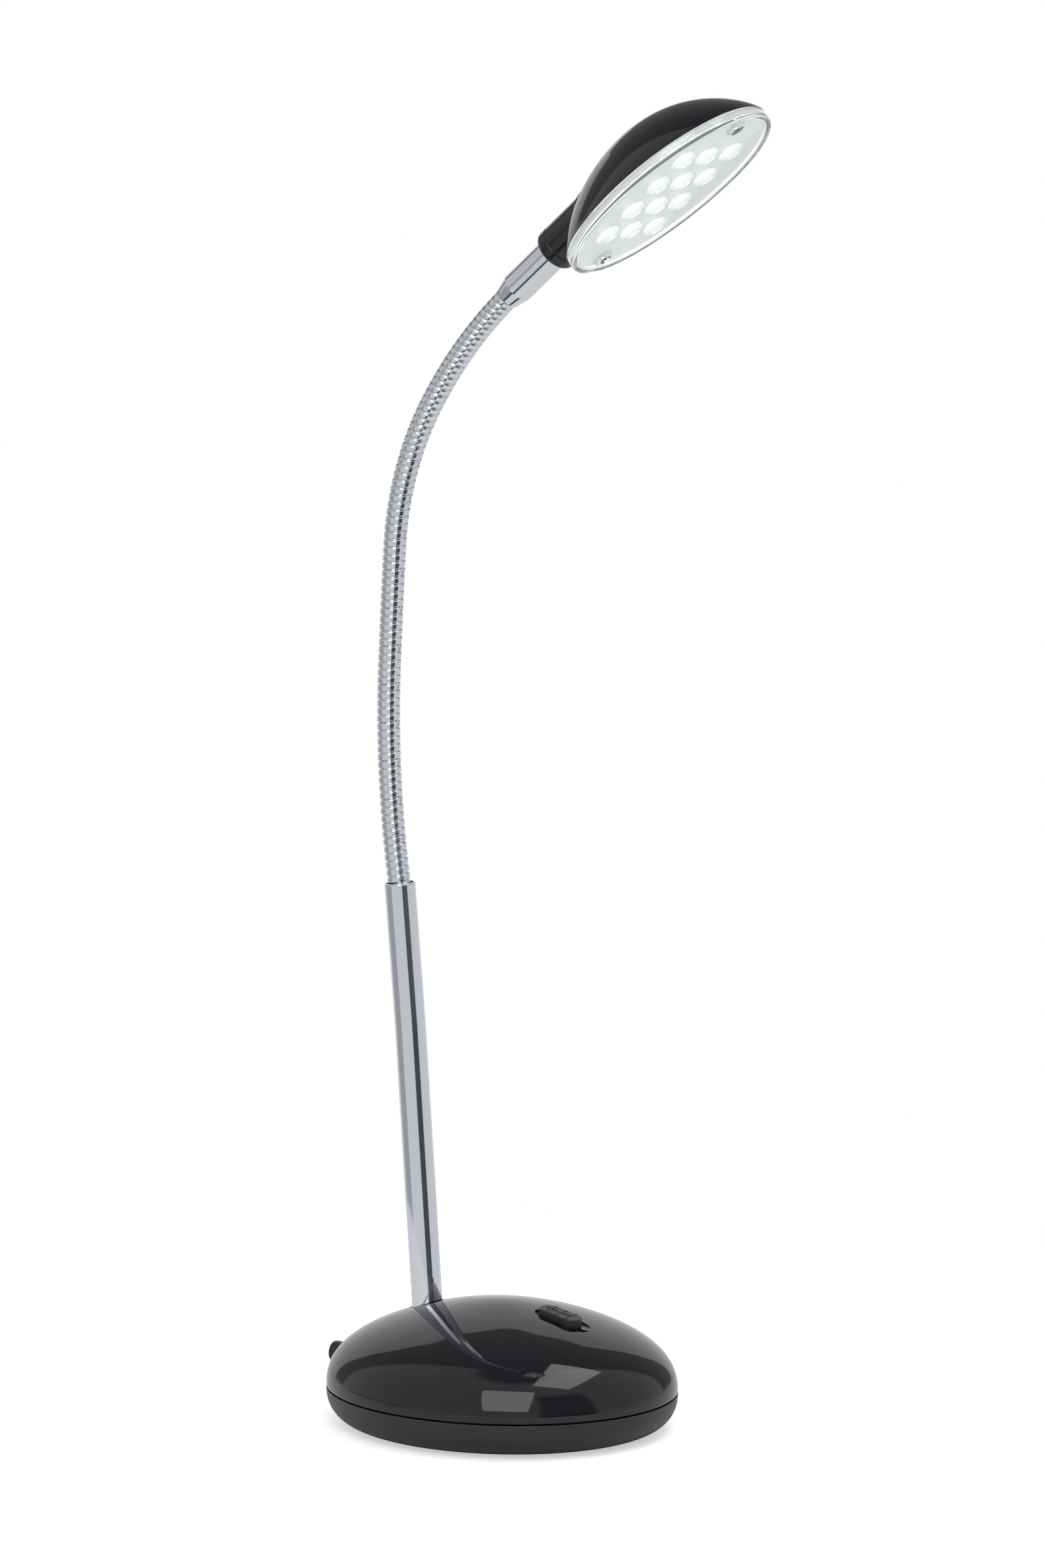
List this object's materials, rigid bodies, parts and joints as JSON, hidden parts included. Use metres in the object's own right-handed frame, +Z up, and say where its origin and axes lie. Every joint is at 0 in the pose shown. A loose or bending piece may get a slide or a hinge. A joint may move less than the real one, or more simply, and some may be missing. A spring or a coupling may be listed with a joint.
{
  "type": "gooseneck desk lamp",
  "caption": "Desk lamp with a weighted oval base, a chrome stem, a flexible ribbed neck and an oval head with a grid of lights behind a clear cover.",
  "frame": {"origin": "middle of the face that the lamp rests on", "axes": "+X from the stem towards the front, under the head; +Z up; +Y to the left of someone behind the lamp who looks forward"},
  "size_m": [0.1628, 0.1058, 0.4368],
  "materials": {
    "gloss_black": "gloss",
    "satin_black": "satin",
    "chrome": "polished",
    "rubber": "matte",
    "cast_weight": "cast",
    "zinc_steel": "zinc plated",
    "clear": "clear",
    "silver": "metallised",
    "board": "solder mask",
    "light": "diffuse"
  },
  "bodies": {
    "base": {"base_shell": "gloss_black", "base_tray": "satin_black", "rest_pad": "rubber", "ballast_weight": "cast_weight", "tray_screws": "zinc_steel", "stem_tube": "chrome", "stem_flange": "zinc_steel", "stem_washer": "zinc_steel", "stem_nut": "zinc_steel", "cable_inlet": "satin_black", "switch_body": "satin_black", "driver_board": "board", "neck_fitting": "zinc_steel", "neck_link_01": "chrome"},
    "neck_02": {"neck_link_02": "chrome"},
    "neck_03": {"neck_link_03": "chrome"},
    "neck_04": {"neck_link_04": "chrome"},
    "neck_05": {"neck_link_05": "chrome"},
    "neck_06": {"neck_link_06": "chrome"},
    "neck_07": {"neck_link_07": "chrome"},
    "neck_08": {"neck_link_08": "chrome"},
    "neck_09": {"neck_link_09": "chrome"},
    "neck_10": {"neck_link_10": "chrome"},
    "neck_11": {"neck_link_11": "chrome"},
    "neck_12": {"neck_link_12": "chrome"},
    "neck_13": {"neck_link_13": "chrome"},
    "neck_14": {"neck_link_14": "chrome"},
    "neck_15": {"neck_link_15": "chrome"},
    "neck_16": {"neck_link_16": "chrome"},
    "head": {"neck_link_17": "chrome", "neck_collar": "chrome", "head_holder": "satin_black", "head_shell": "gloss_black", "face_cover": "clear", "silver_plate": "silver", "light_board": "board", "lights": "light", "cover_screws": "zinc_steel"},
    "switch": {"switch_cap": "satin_black"}
  },
  "joints": [
    {"name": "bend_lower_1", "type": "hinge", "parent": "base", "child": "neck_02", "pos_m": [-0.04184, 0, 0.18287], "axis": [0, 1, 0], "range_deg": [-9.5, 9.5]},
    {"name": "bend_lower_2", "type": "hinge", "parent": "neck_02", "child": "neck_03", "pos_m": [-0.04319, 0, 0.19529], "axis": [0, 1, 0], "range_deg": [-9.5, 9.5]},
    {"name": "side_lower_1", "type": "hinge", "parent": "neck_03", "child": "neck_04", "pos_m": [-0.0441, 0, 0.20776], "axis": [-0.9984, 0, -0.0558], "range_deg": [-9.5, 9.5]},
    {"name": "bend_lower_3", "type": "hinge", "parent": "neck_04", "child": "neck_05", "pos_m": [-0.04458, 0, 0.22025], "axis": [0, 1, 0], "range_deg": [-9.5, 9.5]},
    {"name": "bend_middle_1", "type": "hinge", "parent": "neck_05", "child": "neck_06", "pos_m": [-0.04463, 0, 0.23275], "axis": [0, 1, 0], "range_deg": [-9.5, 9.5]},
    {"name": "side_lower_2", "type": "hinge", "parent": "neck_06", "child": "neck_07", "pos_m": [-0.04423, 0, 0.24524], "axis": [-0.9988, 0, 0.0489], "range_deg": [-9.5, 9.5]},
    {"name": "bend_middle_2", "type": "hinge", "parent": "neck_07", "child": "neck_08", "pos_m": [-0.0436, 0, 0.25773], "axis": [0, 1, 0], "range_deg": [-9.5, 9.5]},
    {"name": "bend_middle_3", "type": "hinge", "parent": "neck_08", "child": "neck_09", "pos_m": [-0.0429, 0, 0.27021], "axis": [0, 1, 0], "range_deg": [-9.5, 9.5]},
    {"name": "side_upper_1", "type": "hinge", "parent": "neck_09", "child": "neck_10", "pos_m": [-0.04216, 0, 0.28269], "axis": [-0.9981, 0, 0.0619], "range_deg": [-9.5, 9.5]},
    {"name": "bend_middle_4", "type": "hinge", "parent": "neck_10", "child": "neck_11", "pos_m": [-0.04066, 0, 0.29509], "axis": [0, 1, 0], "range_deg": [-9.5, 9.5]},
    {"name": "bend_upper_1", "type": "hinge", "parent": "neck_11", "child": "neck_12", "pos_m": [-0.03772, 0, 0.30723], "axis": [0, 1, 0], "range_deg": [-9.5, 9.5]},
    {"name": "side_upper_2", "type": "hinge", "parent": "neck_12", "child": "neck_13", "pos_m": [-0.03338, 0, 0.31895], "axis": [-0.916, 0, 0.4011], "range_deg": [-9.5, 9.5]},
    {"name": "bend_upper_2", "type": "hinge", "parent": "neck_13", "child": "neck_14", "pos_m": [-0.02771, 0, 0.33008], "axis": [0, 1, 0], "range_deg": [-9.5, 9.5]},
    {"name": "bend_upper_3", "type": "hinge", "parent": "neck_14", "child": "neck_15", "pos_m": [-0.02098, 0, 0.34061], "axis": [0, 1, 0], "range_deg": [-9.5, 9.5]},
    {"name": "side_upper_3", "type": "hinge", "parent": "neck_15", "child": "neck_16", "pos_m": [-0.01344, 0, 0.35057], "axis": [-0.7733, 0, 0.6341], "range_deg": [-9.5, 9.5]},
    {"name": "bend_upper_4", "type": "hinge", "parent": "neck_16", "child": "head", "pos_m": [-0.00515, 0, 0.35992], "axis": [0, 1, 0], "range_deg": [-9.5, 9.5]},
    {"name": "switch_slide", "type": "slide", "parent": "base", "child": "switch", "axis": [0.9816, 0, -0.1908], "range_m": [0, 0.0024]}
  ],
  "couplings": [
    {"joint": "bend_lower_2", "follows": "bend_lower_1", "ratio": 1},
    {"joint": "bend_lower_3", "follows": "bend_lower_1", "ratio": 1},
    {"joint": "bend_middle_2", "follows": "bend_middle_1", "ratio": 1},
    {"joint": "bend_middle_3", "follows": "bend_middle_1", "ratio": 1},
    {"joint": "bend_middle_4", "follows": "bend_middle_1", "ratio": 1},
    {"joint": "bend_upper_2", "follows": "bend_upper_1", "ratio": 1},
    {"joint": "bend_upper_3", "follows": "bend_upper_1", "ratio": 1},
    {"joint": "bend_upper_4", "follows": "bend_upper_1", "ratio": 1},
    {"joint": "side_lower_2", "follows": "side_lower_1", "ratio": 1},
    {"joint": "side_upper_2", "follows": "side_upper_1", "ratio": 1},
    {"joint": "side_upper_3", "follows": "side_upper_1", "ratio": 1}
  ]
}
